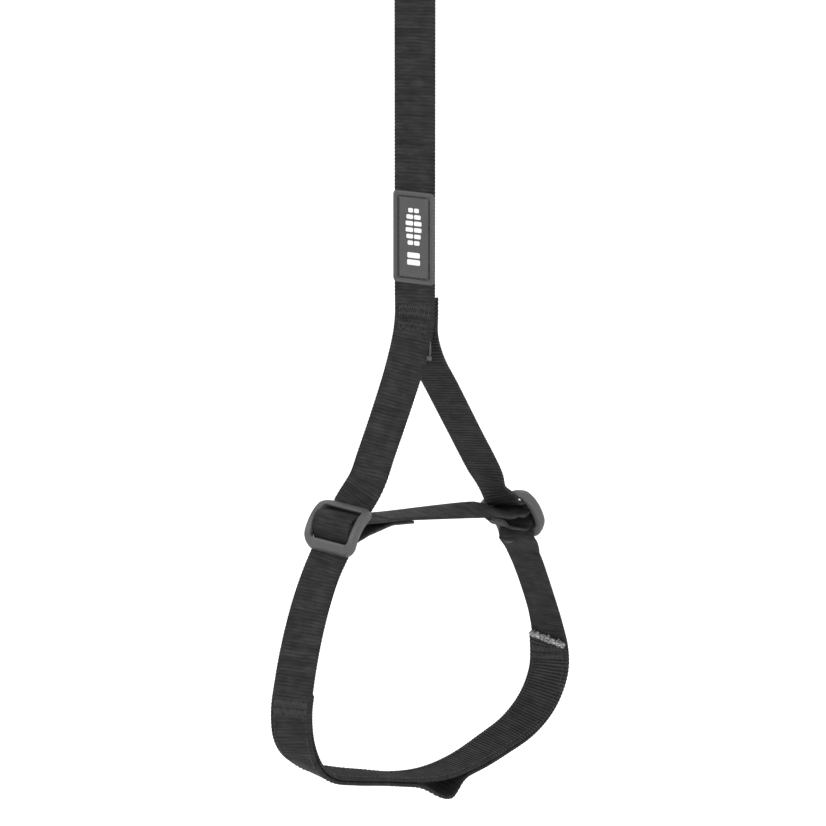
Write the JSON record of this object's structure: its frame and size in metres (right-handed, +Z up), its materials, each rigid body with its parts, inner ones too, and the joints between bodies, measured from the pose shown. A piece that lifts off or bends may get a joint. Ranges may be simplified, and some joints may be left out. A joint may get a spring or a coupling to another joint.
{
  "type": "climbing foot loop",
  "caption": "Adjustable webbing foot loop: a tether with a sewn eye, a rubber label, and a stirrup with a padded foot bed and two sliders joined by a keeper strap.",
  "frame": {"origin": "centre of the sewn eye's bore", "axes": "+Z up along the hanging tether, +X along the eye's bore and the tether's width, the label faces -Y"},
  "size_m": [0.1005, 0.1676, 0.4334],
  "materials": {
    "webbing": "charcoal ribbed nylon webbing",
    "keeper_webbing": "charcoal flat webbing",
    "thread": "bonded thread",
    "slider_plastic": "matte moulded nylon",
    "label_rubber": "satin moulded rubber",
    "emblem_print": "matte white",
    "sealed_edge": "melted nylon"
  },
  "bodies": {
    "sewn_eye": {"eye_loop": "webbing", "eye_fold_back": "webbing", "eye_bar_tack": "thread"},
    "tether": {"tether_webbing": "webbing"},
    "label_strap": {"label_strap_webbing": "webbing", "label_patch": "label_rubber", "label_emblem": "emblem_print", "label_stitching": "thread"},
    "stirrup": {"left_leg_webbing": "webbing", "right_leg_webbing": "webbing", "junction_upper_tack": "thread", "junction_lower_tack": "thread", "left_side_webbing": "webbing", "foot_bed_webbing": "webbing", "right_side_webbing": "webbing", "foot_bed_liner": "webbing", "liner_left_cut_end": "sealed_edge", "liner_right_cut_end": "sealed_edge", "bed_front_stitching": "thread", "bed_back_stitching": "thread", "left_bed_tack": "thread", "right_bed_tack": "thread", "keeper_strap": "keeper_webbing"},
    "left_slider": {"left_slider_frame": "slider_plastic", "left_leg_crossing": "webbing", "left_keeper_loop": "keeper_webbing", "left_keeper_tack": "thread"},
    "right_slider": {"right_slider_frame": "slider_plastic", "right_leg_crossing": "webbing", "right_keeper_loop": "keeper_webbing", "right_keeper_tack": "thread"}
  },
  "joints": [
    {"name": "eye_bend", "type": "hinge", "parent": "sewn_eye", "child": "tether", "pos_m": [0, -0.00095, -0.04], "axis": [1, 0, 0], "range_deg": [-70, 70]},
    {"name": "tether_twist", "type": "hinge", "parent": "tether", "child": "label_strap", "pos_m": [0, -0.00095, -0.128], "axis": [0, 0, 1], "range_deg": [-90, 90], "stiffness_Nm_per_rad": 0.005},
    {"name": "stirrup_swing", "type": "hinge", "parent": "label_strap", "child": "stirrup", "pos_m": [0, -0.00095, -0.181], "axis": [1, 0, 0], "range_deg": [-70, 70]},
    {"name": "left_slider_slide", "type": "slide", "parent": "stirrup", "child": "left_slider", "axis": [0.2223, 0.4001, 0.8891], "range_m": [0, 0.035], "deforming": ["left_leg_webbing", "keeper_strap"]},
    {"name": "right_slider_slide", "type": "slide", "parent": "stirrup", "child": "right_slider", "axis": [-0.2443, -0.4886, 0.8376], "range_m": [0, 0.035], "deforming": ["right_leg_webbing"]}
  ],
  "couplings": [
    {"joint": "right_slider_slide", "follows": "left_slider_slide", "ratio": 1}
  ]
}
